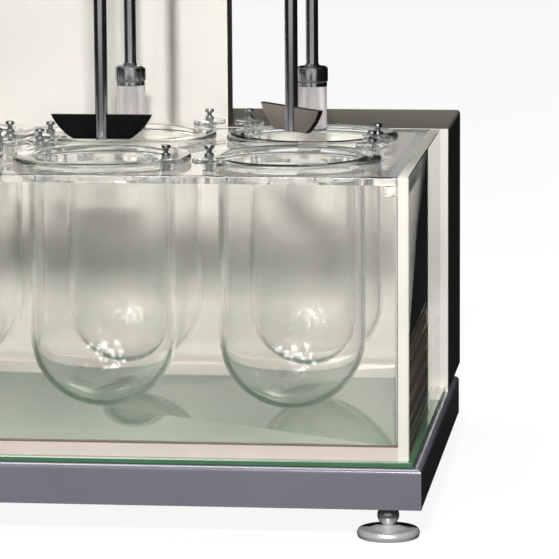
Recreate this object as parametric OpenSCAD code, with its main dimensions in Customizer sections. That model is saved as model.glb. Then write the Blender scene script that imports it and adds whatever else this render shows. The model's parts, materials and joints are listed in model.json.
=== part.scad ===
// Dissolution tester: glass vessels hang in a clear water bath below a stirrer head that rides on a column.
// Millimetres. +Z is up, the front faces -Y, and the origin is on the bench below the middle of the footprint.

/* [Vessel layout] */
// Distance between neighbouring columns of vessels
column_pitch = 140; // [138:1:170]
// Distance between the front and the rear row of vessels
row_pitch = 136; // [134:1:170]
// Distance from the end columns of vessels to the outside of the tank's ends
end_reach = 91.5; // [90:0.5:130]
// Distance from each row of vessels to the outside of the tank's long walls
side_reach = 77; // [76:0.5:110]

/* [Bath] */
// Outside height of the tank
tank_h = 205; // [200:1:260]
// Thickness of the tank's walls
wall_t = 8; // [5:0.5:10]
// Thickness of the tank's floor
floor_t = 10; // [6:0.5:12]
// Thickness of the plate that holds the vessels
plate_t = 6; // [4:0.5:10]
// Gap between the vessel plate and the tank's walls
plate_gap = 0.5; // [0.2:0.1:1]
// Width of the ledges that carry the vessel plate
ledge_w = 10; // [6:1:16]
// Height of the ledges that carry the vessel plate
ledge_h = 8; // [5:1:16]

/* [Vessels] */
// Outside diameter of a vessel
vessel_d = 108; // [100:1:112]
// Thickness of a vessel's glass
glass_wall = 3.5; // [2.5:0.5:5]
// Gap between the vessels and the tank's floor
vessel_floor_gap = 12; // [6:1:30]
// Diameter of a vessel's flange
flange_d = 131; // [126:1:133]
// Thickness of a vessel's flange
flange_t = 6; // [4:0.5:9]
// Gap between a vessel and its hole in the plate
vessel_gap = 0.5; // [0.3:0.1:1]

/* [Vessel clips] */
// Angle of the clips round each vessel, from the line of its row
clip_angle = 40; // [35:1:48]
// Length of a clip
clip_l = 27; // [24:1:29]
// Width of a clip
clip_w = 14; // [10:1:16]
// Thickness of a clip
clip_t = 4; // [3:0.5:8]
// How far a clip reaches over the flange
clip_bite = 8; // [4:1:10]
// Diameter of a clip screw's shank
screw_d = 4; // [3:0.5:5]
// Diameter of a clip screw's nut and cap
screw_cap_d = 7; // [6:0.5:9]
// Height of a clip screw above its clip
screw_rise = 9; // [8:1:16]

/* [Base] */
// Height of the levelling feet below the base
foot_h = 25; // [25:1:45]
// Diameter of a foot's disc
foot_disc_d = 46; // [30:1:56]
// Diameter of a foot's ball-shaped neck
foot_neck_d = 16; // [14:1:17]
// Diameter of a foot's threaded stem
foot_stem_d = 10; // [8:1:12]
// Distance of the feet from the front and rear of the base, and of the front feet from its ends
foot_inset = 26; // [24:1:60]
// Distance of the rear feet from the ends of the base
foot_rear_inset = 56; // [24:1:90]
// Height of the base tray
base_h = 30; // [26:1:50]
// Radius along the base tray's top edges
base_edge_r = 4; // [2:0.5:8]
// Thickness of the base tray's sheet
base_sheet = 2; // [1:0.5:3]
// How far the base stands out past the tank at each end
base_end_lip = 9.5; // [6:0.5:30]
// How far the base stands out past the tank at the front
base_front_lip = 3.2; // [2.5:0.1:30]
// How far the base runs on behind the tank
base_rear_reach = 75; // [60:1:110]
// Thickness of the glass plate below the tank
under_glass_t = 4; // [3:0.5:10]
// How far the glass plate stands out past the tank's ends
under_glass_lip = 4; // [1:0.5:6]
// How far the glass plate stands out past the tank's front
under_glass_front_lip = 1; // [0.5:0.5:2.5]

/* [Housing] */
// Depth of the housing behind the tank, with its front panel
housing_d = 130; // [116:1:180]
// How far the housing stands out past the tank at each end
housing_end_lip = 6; // [2:0.5:20]
// Gap between the tank and the front panel
panel_gap = 4; // [2:0.5:10]
// Thickness of the stainless front panel
panel_t = 1.5; // [1:0.5:3]
// Thickness of the housing's sheet
housing_sheet = 2; // [1:0.5:3]
// Radius along the housing's top ends
housing_edge_r = 3; // [2:0.5:6]
// Number of cooling slots in each group at the rear
vent_count = 9; // [4:1:12]

/* [Water circuit] */
// Outside diameter of the pipes through the tank's rear wall
pipe_d = 16; // [12:1:20]
// Wall of those pipes
pipe_wall = 2; // [1:0.5:3]
// Diameter of the circulation pump and of the heater tube
pump_d = 56; // [40:1:60]
// Length of the heater tube
heater_l = 150; // [100:5:160]

/* [Power inlet] */
// Width of the inlet's plate
inlet_w = 34; // [30:1:44]
// Height of the inlet's plate
inlet_h = 62; // [60:1:76]
// Diameter of the switch rocker's drum
rocker_d = 18; // [15:1:19]
// Width of the switch rocker
rocker_w = 12; // [8:1:16]

/* [Column] */
// Width of the column's stainless front
column_w = 268; // [230:2:300]
// Depth of the column's wide front part
column_front_d = 28; // [20:1:40]
// Width of the mast behind that front
mast_w = 192; // [188:2:220]
// Depth of the mast, from the front panel
mast_d = 92; // [88:1:106]
// Gap above the raised carriage, inside the column
column_headroom = 18; // [8:1:60]
// Diameter of the guide rods
rod_d = 16; // [12:1:20]
// Distance between the guide rods
rod_pitch = 140; // [120:2:146]
// Distance between the two arms that carry the head
arm_pitch = 70; // [60:2:74]
// Thickness of an arm
arm_w = 14; // [8:1:20]

/* [Drive head] */
// Gap between the chucks and the clip screws when the head is down
chuck_clear = 14.7; // [8:0.1:30]
// Height of the head
head_h = 115; // [110:1:130]
// How far the head reaches past the end columns of vessels
head_end_reach = 66; // [66:1:90]
// How far the head reaches in front of the front row
head_front_reach = 72; // [60:1:76]
// Gap between the head and the column
head_gap = 4; // [2:0.5:6]
// Thickness of the head cover's sheet
cover_sheet = 2; // [1:0.5:3]
// Radius along the head cover's top edges
cover_edge_r = 8; // [4:1:14]
// Thickness of the chassis plate
chassis_t = 12; // [8:1:14]

/* [Drive train] */
// Outside diameter of a hollow spindle
spindle_d = 14; // [13:0.5:18]
// Diameter of a spindle's chuck
chuck_d = 24; // [20:1:30]
// Length of a spindle's chuck
chuck_l = 26; // [16:1:40]
// Diameter of a spindle bearing
bearing_d = 30; // [24:1:36]
// Belt diameter of a spindle pulley
spindle_pulley_d = 40; // [30:1:48]
// Belt diameter of the motor pulley
motor_pulley_d = 24; // [18:1:26]
// Width of the belt
belt_w = 8; // [6:1:10]
// Thickness of the belt
belt_t = 1.5; // [1:0.5:2]
// Height of a pulley's rims above the belt's seat
pulley_rim = 4; // [3:0.5:5]
// Diameter of the drive motor
motor_d = 52; // [46:1:54]
// Length of the drive motor
motor_l = 54; // [40:1:56]
// Distance of the motor beyond the end column of spindles
motor_reach = 33; // [30:1:34]

/* [Stirrers] */
// Diameter of the stirrer shafts
shaft_d = 9.5; // [9:0.1:10]
// Diameter of the circle that rounds a paddle blade's ends
blade_circle_d = 83; // [80:1:86]
// Length of a paddle blade's upper edge
blade_top_l = 75; // [72:0.5:78]
// Length of a paddle blade's lower edge
blade_bottom_l = 42; // [40:0.5:46]
// Thickness of a paddle blade
blade_t = 4; // [3:0.5:5]
// Height of the paddles above the tank when the head is raised
paddle_rise = 17; // [17:1:40]
// Height of the lowest paddles above the vessels' inside when the head is down
paddle_floor_gap = 25.5; // [23:0.5:40]
// Turn of each paddle blade at rest, left to right
paddle_turn = [30, 75, 0, -49]; // [-90:1:90]
// Extra height of each paddle in its chuck, left to right
paddle_shift = [3, 0, 0, 7]; // [0:1:20]
// Diameter of a basket
basket_d = 22.5; // [20:0.5:26]
// Height of a basket
basket_h = 37; // [34:1:40]
// Wall of a basket's screen
basket_wall = 0.8; // [0.6:0.1:1.5]
// Height of the bands at a basket's ends
basket_band = 3; // [2:0.5:5]
// Width of the bars of a basket's screen
screen_bar = 1; // [0.8:0.1:1.5]
// Number of openings round a basket's screen
screen_columns = 24; // [12:2:30]
// Number of openings up a basket's screen
screen_rows = 5; // [2:1:7]
// Diameter of the hub that carries a basket
hub_d = 24; // [22:1:28]
// Height of that hub
hub_h = 12; // [8:1:16]
// Height of the baskets above the tank when the head is raised
basket_rise = 8; // [8:1:40]

/* [Controls] */
// Width of the control panel on the head
fascia_w = 220; // [200:5:300]
// Height of the control panel
fascia_h = 70; // [60:1:76]
// Thickness of the control panel
fascia_t = 4; // [4:0.5:5]
// Width of the display window
display_w = 90; // [60:1:100]
// Height of the display window
display_h = 36; // [24:1:44]
// Diameter of a key
key_d = 16; // [12:1:18]
// How far a key stands out of the panel
key_rise = 1.8; // [1.5:0.1:2.5]
// How far a key goes in
key_travel = 1.2; // [0.8:0.1:1.2]

/* [Clearances] */
// Radial clearance of a running fit
run_gap = 0.05; // [0.02:0.01:0.08]
// Gap between other parts that move past each other
free_gap = 0.4; // [0.3:0.1:0.5]

/* [Hidden] */
$fn = 64;
eps = 1;
columns = 4;
rows = 2;

// Footprint, front to back
inlet_t = 3;
overall_d = base_front_lip + row_pitch + 2 * side_reach + panel_gap + housing_d + inlet_t;
front_y = -overall_d / 2;
tank_w = (columns - 1) * column_pitch + 2 * end_reach;
tank_d = row_pitch + 2 * side_reach;
tank_front_y = front_y + base_front_lip;
tank_rear_y = tank_front_y + tank_d;
row_mid_y = (tank_front_y + tank_rear_y) / 2;
panel_y = tank_rear_y + panel_gap;
shell_y = panel_y + panel_t;
housing_rear_y = panel_y + housing_d;

// Heights above the bench
base_z = foot_h;
glass_z = base_z + base_h;
tank_z = glass_z + under_glass_t;
top_z = tank_z + tank_h;

// Travel of the head, and how high it stands above the tank when it is raised
vessel_depth = tank_h - floor_t - vessel_floor_gap;
chuck_gap = 0.3;
head_travel = paddle_rise + vessel_depth - glass_wall - paddle_floor_gap;
screw_top = flange_t + clip_t + screw_rise;
head_rise = head_travel + screw_top + chuck_clear + chuck_l + chuck_gap;
head_z = top_z + head_rise;

// Widths and depths that follow from those
inner_x = tank_w / 2 - wall_t;
base_w = tank_w + 2 * base_end_lip;
base_d = tank_rear_y + base_rear_reach - front_y;
housing_w = tank_w + 2 * housing_end_lip;
foot_x = base_w / 2 - foot_inset;
foot_rear_x = base_w / 2 - foot_rear_inset;
foot_front_y = front_y + foot_inset;
foot_rear_y = front_y + base_d - foot_inset;

// Levelling feet
foot_rim_r = 3;
foot_dome_h = 3;
foot_ball_sink = 1;
foot_top_gap = 6;
foot_boss_wall = 5;
foot_thread_l = base_h - base_sheet - foot_top_gap;
foot_boss_d = foot_stem_d + 2 * foot_boss_wall;

// Clips and screws
screw_gap = 2;
spacer_gap = 0.5;
clip_r = flange_d / 2 - clip_bite + clip_l / 2;
screw_r = flange_d / 2 + screw_cap_d / 2 + screw_gap;
clip_z = top_z + flange_t;
screw_cap_h = 3;
screw_nut_h = 3;
spacer_d = 2 * (screw_r - flange_d / 2 - spacer_gap);

// Water circuit, in the left end of the housing
pipe_rise = 30;
pipe_inset = 60;
pipe_spread = 34;
pipe_flange_lip = 6;
pipe_flange_t = 4;
pump_gap = 12;
pump_h = 90;
pump_foot_lip = 4;
saddle_t = 8;
heater_gap = 10;
stub_wall = 3;
stub_gap = 6;
pipe_z = tank_z + floor_t + pipe_rise;
pipe_x = [-housing_w / 2 + pipe_inset, -housing_w / 2 + pipe_inset + pump_d + pipe_spread];
pipe_flange_d = pipe_d + 2 * pipe_flange_lip;
pump_y = shell_y + pump_d / 2 + pump_gap;
heater_x = pipe_x[0] + pump_d / 2 + heater_gap;
stub_d = pipe_d + 2 * stub_wall;
stub_y = shell_y + stub_gap;
floor_z = glass_z + housing_sheet;

// Power inlet at the rear
inlet_x = -housing_w / 4;
inlet_rise = 60;
inlet_z = glass_z + inlet_rise;
inlet_depth = 22;
inlet_wall = 1;
socket_margin = 2;
socket_h = 24;
socket_d = 16;
pin_w = 2;
pin_h = 4;
pin_back = 4;
pin_pitch = 7;
rocker_margin = 7;
rocker_pin_d = 3;
rocker_pin_l = 2.5;
rocker_pin_gap = 0.5;
rocker_z = inlet_z + inlet_h / 2 - rocker_d / 2 - rocker_margin;
rocker_y = housing_rear_y + inlet_t - rocker_d / 2;
rocker_tilt = 12;
switch_well = rocker_d / 2 + free_gap;

// Cooling slots
vent_w = 5;
vent_h = 46;
vent_pitch = 11;
vent_drop = 30;

// Carriage, arms and the slots that they run in
rod_shift = 2;
rod_end_wall = 9;
rod_side_wall = 17;
carriage_h = 90;
carriage_rise = 24;
arm_h = 50;
arm_rise = 20;
slot_gap = 3;
bracket_t = 8;
bracket_lip = 30;
bracket_gap = 6;
bracket_top = 8;
rod_y = shell_y + mast_d / 2 + rod_shift;
carriage_w = rod_pitch + rod_d + 2 * rod_end_wall;
carriage_d = rod_d + 2 * rod_side_wall;
carriage_z = head_z + carriage_rise;
arm_z = carriage_z + arm_rise;
slot_w = arm_w + 2 * slot_gap;
slot_z = arm_z - head_travel - slot_gap;
slot_h = head_travel + arm_h + 2 * slot_gap;
bracket_w = arm_pitch + arm_w + 2 * bracket_lip;
head_rear_y = panel_y - head_gap;
bracket_y = head_rear_y - cover_sheet - bracket_t - bracket_gap;
column_h = carriage_z + carriage_h + column_headroom + housing_sheet - top_z;

// Lift actuator
tube_d = 36;
tube_bore_d = 28;
tube_gap = 18;
tube_h = carriage_z - head_travel - floor_z - tube_gap;
ram_d = 16;
ram_engaged = 57;
ram_l = head_travel + tube_gap + ram_engaged;
gland_h = 20;
actuator_foot = 64;
actuator_foot_t = 6;
piston_h = 12;

// Head
head_w = (columns - 1) * column_pitch + 2 * head_end_reach;
head_front_y = row_mid_y - row_pitch / 2 - head_front_reach;
head_d = head_rear_y - head_front_y;
chassis_top_z = head_z + chassis_t;
chassis_gap = 0.2;

// Spindles, pulleys and belt
chuck_taper = 3;
chuck_groove = 2;
bearing_rim = 3;
bearing_rim_t = 2;
pulley_gap = 2.5;
pulley_z = chassis_top_z + bearing_rim_t + pulley_gap;
rim_t = 2;
belt_clear = 0.5;
pulley_h = belt_w + 2 * belt_clear + 2 * rim_t;
belt_z = pulley_z + rim_t + belt_clear;
spindle_end = 6;
shaft_end = 10;
spindle_top_z = pulley_z + pulley_h + spindle_end;
shaft_top_z = spindle_top_z + shaft_end;
belt_gap = 0.3;
motor_x = -(columns - 1) / 2 * column_pitch - motor_reach;
motor_gap = 8;
motor_z = pulley_z + pulley_h + motor_gap;
motor_shaft_d = 6;
motor_shaft_in = 12;
post_d = 6;
post_gap = 2;
post_r = motor_pulley_d / 2 + pulley_rim + post_d / 2 + post_gap;

// Paddle blades: two chords of one circle
blade_top_off = sqrt(pow(blade_circle_d / 2, 2) - pow(blade_top_l / 2, 2));
blade_bottom_off = sqrt(pow(blade_circle_d / 2, 2) - pow(blade_bottom_l / 2, 2));
blade_h = blade_bottom_off - blade_top_off;

// Controls
fascia_z = head_z + head_h / 2;
fascia_margin = 14;
fascia_corner_r = 6;
display_t = 1.5;
display_x = -fascia_w / 2 + display_w / 2 + fascia_margin;
key_l = 3.4;
key_gap = 12;
key_row_x = display_x + display_w / 2 + key_d / 2 + fascia_margin;
key_pitch = key_d + key_gap;

// Colours
paint_grey = [0.48, 0.48, 0.51];
paint_dark = [0.2, 0.2, 0.2];
stainless = [0.9, 0.9, 0.86];
chrome = [0.8, 0.8, 0.82];
acrylic = [0.85, 0.92, 0.88, 0.35];
clear_glass = [0.8, 0.92, 0.85, 0.35];
dark_steel = [0.12, 0.12, 0.14];
black = [0.08, 0.08, 0.08];
alloy = [0.7, 0.7, 0.72];

// Places of the vessel positions: 1 to 4 are the front row from the left, 5 to 8 the rear row
function column_of(i) = (i - 1) % columns;
function row_of(i) = floor((i - 1) / columns);
function place_x(i) = (column_of(i) - (columns - 1) / 2) * column_pitch;
function place_y(i) = row_mid_y + (row_of(i) - 0.5) * row_pitch;

// The clips of neighbouring vessels lie on opposite diagonals
function clip_turn(i) = (column_of(i) + row_of(i)) % 2 == 0 ? -clip_angle : clip_angle;

module at_place(i) {
    translate([place_x(i), place_y(i), 0]) children();
}

module at_clips() {
    for (i = [1 : columns * rows])
        for (side = [0, 180])
            at_place(i) rotate(clip_turn(i) + side) children();
}

module at_feet() {
    for (i = [1 : 4])
        translate(foot_place(i)) children();
}

function foot_place(i) = [(i % 2 == 1 ? -1 : 1) * (i <= 2 ? foot_x : foot_rear_x),
                          i <= 2 ? foot_front_y : foot_rear_y, 0];

// Rectangle that stands on its middle, with its upper corners rounded
module top_rounded(w, h, r) {
    union() {
        translate([-w / 2, 0]) square([w, h - r]);
        translate([-w / 2 + r, 0]) square([w - 2 * r, h]);
        for (side = [-1, 1])
            translate([side * (w / 2 - r), h - r]) circle(r);
    }
}

// Flat plate with round corners
module round_plate(w, h, t, r) {
    linear_extrude(t) union() {
        square([w - 2 * r, h], center = true);
        square([w, h - 2 * r], center = true);
        for (x = [-1, 1], y = [-1, 1])
            translate([x * (w / 2 - r), y * (h / 2 - r)]) circle(r);
    }
}

// Block that stands on z = 0 with rounded top edges
module rounded_block(w, d, h, r) {
    intersection() {
        rotate([90, 0, 90]) linear_extrude(w, center = true) top_rounded(d, h, r);
        rotate([90, 0, 0]) linear_extrude(d, center = true) top_rounded(w, h, r);
    }
}

// The same block as a sheet-metal pan, open below
module pan(w, d, h, r, sheet) {
    difference() {
        rounded_block(w, d, h, r);
        translate([0, 0, -eps])
            rounded_block(w - 2 * sheet, d - 2 * sheet, h - sheet + eps, max(r - sheet, 0.5));
    }
}

module base_tray() {
    color(paint_grey)
    difference() {
        union() {
            translate([0, front_y + base_d / 2, base_z]) pan(base_w, base_d, base_h, base_edge_r, base_sheet);
            at_feet() translate([0, 0, base_z]) cylinder(h = base_h - base_sheet, d = foot_boss_d);
        }
        at_feet() translate([0, 0, base_z - eps])
            cylinder(h = foot_thread_l + 2 * eps, d = foot_stem_d + 2 * run_gap);
    }
}

module base_glass() {
    w = tank_w + 2 * under_glass_lip;
    y = tank_front_y - under_glass_front_lip;
    color(clear_glass) translate([-w / 2, y, glass_z]) cube([w, panel_y - y, under_glass_t]);
}

// Levelling foot: a chromed disc with a round rim, a ball neck and a threaded stem in the base's boss
module foot(i) {
    rim_z = 2 * foot_rim_r;
    dome_z = rim_z + foot_dome_h;
    color(chrome) translate(foot_place(i)) union() {
        cylinder(h = rim_z, d = foot_disc_d - 2 * foot_rim_r);
        rotate_extrude() translate([foot_disc_d / 2 - foot_rim_r, foot_rim_r]) circle(foot_rim_r);
        translate([0, 0, rim_z]) cylinder(h = foot_dome_h, d1 = foot_disc_d - 2 * foot_rim_r, d2 = foot_neck_d - 2 * foot_ball_sink);
        translate([0, 0, dome_z + foot_neck_d / 2 - foot_ball_sink]) sphere(d = foot_neck_d);
        translate([0, 0, foot_rim_r]) cylinder(h = base_z + foot_thread_l - foot_rim_r, d = foot_stem_d);
    }
}

module tank_floor() {
    color(acrylic) translate([-inner_x, tank_front_y + wall_t, tank_z])
        cube([2 * inner_x, tank_d - 2 * wall_t, floor_t]);
}

module tank_front_wall() {
    color(acrylic) translate([-tank_w / 2, tank_front_y, tank_z]) cube([tank_w, wall_t, tank_h]);
}

module tank_rear_wall() {
    color(acrylic) difference() {
        translate([-tank_w / 2, tank_rear_y - wall_t, tank_z]) cube([tank_w, wall_t, tank_h]);
        at_pipes() translate([0, tank_rear_y - wall_t - eps, 0]) along_y(wall_t + 2 * eps, pipe_d + 2 * run_gap);
    }
}

module tank_end_walls() {
    color(acrylic) for (side = [-1, 1])
        translate([side * (inner_x + wall_t / 2) - wall_t / 2, tank_front_y + wall_t, tank_z])
            cube([wall_t, tank_d - 2 * wall_t, tank_h]);
}

module plate_ledges() {
    color(acrylic) for (side = [-1, 1])
        translate([side * (inner_x - ledge_w / 2) - ledge_w / 2, tank_front_y + wall_t, top_z - plate_t - ledge_h])
            cube([ledge_w, tank_d - 2 * wall_t, ledge_h]);
}

module vessel_plate() {
    w = 2 * (inner_x - plate_gap);
    d = tank_d - 2 * (wall_t + plate_gap);
    color(acrylic) difference() {
        translate([-w / 2, row_mid_y - d / 2, top_z - plate_t]) cube([w, d, plate_t]);
        for (i = [1 : columns * rows])
            at_place(i) translate([0, 0, top_z - plate_t - eps])
                cylinder(h = plate_t + 2 * eps, d = vessel_d + 2 * vessel_gap);
        at_clips() translate([screw_r, 0, top_z - plate_t - eps])
            cylinder(h = plate_t + 2 * eps, d = screw_d + 2 * run_gap);
    }
}

// Round-bottomed vessel that hangs from its flange, which has a fire-rounded edge
module vessel(i) {
    tube_l = vessel_depth - vessel_d / 2;
    inner_d = vessel_d - 2 * glass_wall;
    edge_r = flange_t / 2;
    color(clear_glass) at_place(i) translate([0, 0, top_z]) difference() {
        union() {
            cylinder(h = flange_t, d = flange_d - 2 * edge_r);
            rotate_extrude() translate([flange_d / 2 - edge_r, edge_r]) circle(edge_r);
            translate([0, 0, -tube_l]) cylinder(h = tube_l + flange_t / 2, d = vessel_d);
            translate([0, 0, -tube_l]) sphere(d = vessel_d);
        }
        translate([0, 0, -tube_l]) cylinder(h = tube_l + flange_t + eps, d = inner_d);
        translate([0, 0, -tube_l]) sphere(d = inner_d);
    }
}

// Clear clips, each on a round spacer beside its flange
module vessel_clips() {
    end_shift = (clip_l - clip_w) / 2;
    color(acrylic) at_clips() difference() {
        union() {
            translate([screw_r, 0, top_z]) cylinder(h = flange_t + clip_t / 2, d = spacer_d);
            for (end = [-1, 1])
                translate([clip_r + end * end_shift, 0, clip_z]) cylinder(h = clip_t, d = clip_w);
            translate([clip_r - end_shift, -clip_w / 2, clip_z]) cube([2 * end_shift, clip_w, clip_t]);
        }
        translate([screw_r, 0, top_z - eps])
            cylinder(h = flange_t + clip_t + 2 * eps, d = screw_d + 2 * run_gap);
    }
}

module clip_screws() {
    shank_z = top_z - plate_t;
    nut_z = clip_z + clip_t;
    color(chrome) at_clips() translate([screw_r, 0, 0]) union() {
        translate([0, 0, shank_z]) cylinder(h = nut_z + screw_rise - shank_z, d = screw_d);
        translate([0, 0, nut_z]) cylinder(h = screw_nut_h, d = screw_cap_d, $fn = 6);
        translate([0, 0, nut_z + screw_rise - screw_cap_h]) cylinder(h = screw_cap_h, d = screw_cap_d);
    }
}

// Round bar along +Y
module along_y(l, d) {
    rotate([-90, 0, 0]) cylinder(h = l, d = d);
}

// Round bar along +X
module along_x(l, d) {
    rotate([0, 90, 0]) cylinder(h = l, d = d);
}

module at_pipes() {
    for (x = pipe_x)
        translate([x, 0, pipe_z]) children();
}

module housing_shell() {
    h = top_z - glass_z;
    d = housing_rear_y - shell_y;
    inner_w = housing_w - 2 * housing_sheet;
    color(paint_dark) difference() {
        translate([0, housing_rear_y, glass_z]) rotate([90, 0, 0])
            linear_extrude(d) top_rounded(housing_w, h, housing_edge_r);
        translate([0, housing_rear_y - housing_sheet, floor_z]) rotate([90, 0, 0])
            linear_extrude(d) top_rounded(inner_w, h - 2 * housing_sheet, max(housing_edge_r - housing_sheet, 0.5));
        translate([0, rod_y, top_z - 2 * housing_sheet]) cylinder(h = 3 * housing_sheet, d = tube_d + 2 * free_gap);
        translate([inlet_x - inlet_w / 2 + inlet_t, housing_rear_y - 2 * housing_sheet, inlet_z - inlet_h / 2 + inlet_t])
            cube([inlet_w - 2 * inlet_t, 3 * housing_sheet, inlet_h - 2 * inlet_t]);
        for (group = [-1, 1])
            for (k = [0 : vent_count - 1])
                translate([group * housing_w / 4 + (k - (vent_count - 1) / 2) * vent_pitch - vent_w / 2,
                           housing_rear_y - 2 * housing_sheet, top_z - vent_drop - vent_h])
                    cube([vent_w, 3 * housing_sheet, vent_h]);
    }
}

// Stainless sheet that closes the housing and faces the column, slotted for the arms of the head
module front_panel() {
    color(stainless) difference() {
        union() {
            translate([-housing_w / 2, panel_y, glass_z]) cube([housing_w, panel_t, top_z - glass_z]);
            translate([-column_w / 2, panel_y, top_z]) cube([column_w, panel_t, column_h]);
        }
        for (side = [-1, 1])
            translate([side * arm_pitch / 2 - slot_w / 2, panel_y - eps, slot_z])
                cube([slot_w, panel_t + 2 * eps, slot_h]);
        at_pipes() translate([0, panel_y - eps, 0]) along_y(panel_t + 2 * eps, pipe_d + 2 * free_gap);
    }
}

// Flanged pipes between the bath and the water heater
module bath_pipes() {
    inner_y = tank_rear_y - wall_t;
    color(stainless) at_pipes() difference() {
        union() {
            translate([0, inner_y - pipe_flange_t, 0]) along_y(pipe_flange_t, pipe_flange_d);
            translate([0, inner_y - pipe_flange_t, 0]) along_y(stub_y - inner_y + pipe_flange_t, pipe_d);
        }
        translate([0, inner_y - pipe_flange_t - eps, 0])
            along_y(stub_y - inner_y + pipe_flange_t + 2 * eps, pipe_d - 2 * pipe_wall);
    }
}

// Circulation pump and heater tube on the housing's floor
module water_heater() {
    color(alloy) union() {
        translate([pipe_x[0], pump_y, floor_z]) cylinder(h = pump_h, d = pump_d);
        translate([pipe_x[0] - pump_d / 2 - pump_foot_lip, pump_y - pump_d / 2, floor_z])
            cube([pump_d + 2 * pump_foot_lip, pump_d, saddle_t]);
        translate([pipe_x[0], pump_y, pipe_z]) along_x(heater_x - pipe_x[0] + eps, stub_d);
        translate([heater_x, pump_y, pipe_z]) along_x(heater_l, pump_d);
        for (end = [0.2, 0.8])
            translate([heater_x + end * heater_l - saddle_t / 2, pump_y - pump_d / 2, floor_z])
                cube([saddle_t, pump_d, pipe_z - floor_z]);
        for (x = pipe_x)
            translate([x, stub_y, pipe_z]) along_y(pump_y - stub_y, stub_d);
    }
}

// Mains inlet at the rear, with the frame of the switch above its socket
module power_inlet() {
    body_w = inlet_w - 2 * inlet_t - 2 * free_gap;
    body_h = inlet_h - 2 * inlet_t - 2 * free_gap;
    socket_w = body_w - 2 * inlet_wall;
    socket_z = inlet_z - inlet_h / 2 + inlet_t + socket_margin + socket_h / 2;
    pin_bar = rocker_w + 2 * (rocker_pin_l + rocker_pin_gap);
    rear_y = housing_rear_y + inlet_t;
    color(black) difference() {
        union() {
            translate([inlet_x - inlet_w / 2, housing_rear_y, inlet_z - inlet_h / 2]) cube([inlet_w, inlet_t, inlet_h]);
            translate([inlet_x - body_w / 2, rear_y - inlet_depth, inlet_z - body_h / 2])
                cube([body_w, inlet_depth, body_h]);
        }
        difference() {
            translate([inlet_x - socket_w / 2, rear_y - socket_d, socket_z - socket_h / 2])
                cube([socket_w, socket_d + eps, socket_h]);
            for (pin = [-1, 0, 1])
                translate([inlet_x + pin * pin_pitch - pin_w / 2, rear_y - socket_d,
                           socket_z - pin_h / 2 + pin_h * (1 - abs(pin))])
                    cube([pin_w, socket_d - pin_back, pin_h]);
        }
        translate([inlet_x - rocker_w / 2 - free_gap, rocker_y, rocker_z])
            along_x(rocker_w + 2 * free_gap, 2 * switch_well);
        translate([inlet_x - pin_bar / 2, rocker_y, rocker_z]) along_x(pin_bar, rocker_pin_d + 2 * run_gap);
    }
}

// Rocker of the mains switch: a drum with a shallow V face, on its pivot pin
module power_switch() {
    r = rocker_d / 2;
    color(black) translate([inlet_x, rocker_y, rocker_z]) rotate([rocker_tilt, 0, 0]) union() {
        rotate([90, 0, 90]) linear_extrude(rocker_w, center = true) intersection() {
            circle(r);
            polygon([[-r, -r], [0.75 * r, -r], [0.5 * r, 0], [0.75 * r, r], [-r, r]]);
        }
        translate([-rocker_w / 2 - rocker_pin_l, 0, 0]) along_x(rocker_w + 2 * rocker_pin_l, rocker_pin_d);
    }
}

// Plan of the column: the wide front part and the mast behind it
module column_plan(inset, overrun) {
    union() {
        translate([-column_w / 2 + inset, -overrun]) square([column_w - 2 * inset, column_front_d - inset + overrun]);
        translate([-mast_w / 2 + inset, -overrun]) square([mast_w - 2 * inset, mast_d - inset + overrun]);
    }
}

module column_shell() {
    color(paint_dark) translate([0, shell_y, top_z]) difference() {
        linear_extrude(column_h) column_plan(0, 0);
        translate([0, 0, -eps]) linear_extrude(column_h - housing_sheet + eps) column_plan(housing_sheet, eps);
    }
}

module guide_rods() {
    color(chrome) for (side = [-1, 1])
        translate([side * rod_pitch / 2, rod_y, top_z]) cylinder(h = column_h - housing_sheet, d = rod_d);
}

module lift_actuator() {
    foot_t = actuator_foot_t;
    color(alloy) translate([0, rod_y, floor_z]) difference() {
        union() {
            cylinder(h = tube_h, d = tube_d);
            translate([-actuator_foot / 2, -actuator_foot / 2, 0]) cube([actuator_foot, actuator_foot, foot_t]);
        }
        translate([0, 0, foot_t]) cylinder(h = tube_h - foot_t - gland_h, d = tube_bore_d);
        translate([0, 0, foot_t]) cylinder(h = tube_h, d = ram_d + 2 * run_gap);
    }
}

module actuator_ram() {
    color(chrome) translate([0, rod_y, carriage_z - ram_l]) union() {
        cylinder(h = ram_l, d = ram_d);
        cylinder(h = piston_h, d = tube_bore_d - 2 * free_gap);
    }
}

// Carriage on the guide rods, with the two arms and the bracket that carry the head
module carriage() {
    front_y_of_block = rod_y - carriage_d / 2;
    bracket_h = arm_z + arm_h + bracket_top - chassis_top_z;
    color(alloy) difference() {
        union() {
            translate([-carriage_w / 2, front_y_of_block, carriage_z]) cube([carriage_w, carriage_d, carriage_h]);
            for (side = [-1, 1])
                translate([side * arm_pitch / 2 - arm_w / 2, bracket_y, arm_z])
                    cube([arm_w, front_y_of_block - bracket_y + eps, arm_h]);
            translate([-bracket_w / 2, bracket_y, chassis_top_z]) cube([bracket_w, bracket_t, bracket_h]);
        }
        for (side = [-1, 1])
            translate([side * rod_pitch / 2, rod_y, carriage_z - eps])
                cylinder(h = carriage_h + 2 * eps, d = rod_d + 2 * run_gap);
    }
}

module head_chassis() {
    inset = cover_sheet + chassis_gap;
    color(alloy) difference() {
        translate([-head_w / 2 + inset, head_front_y + inset, head_z])
            cube([head_w - 2 * inset, head_d - 2 * inset, chassis_t]);
        for (i = [1 : columns * rows])
            at_place(i) translate([0, 0, head_z - eps]) cylinder(h = chassis_t + 2 * eps, d = bearing_d);
    }
}

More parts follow.
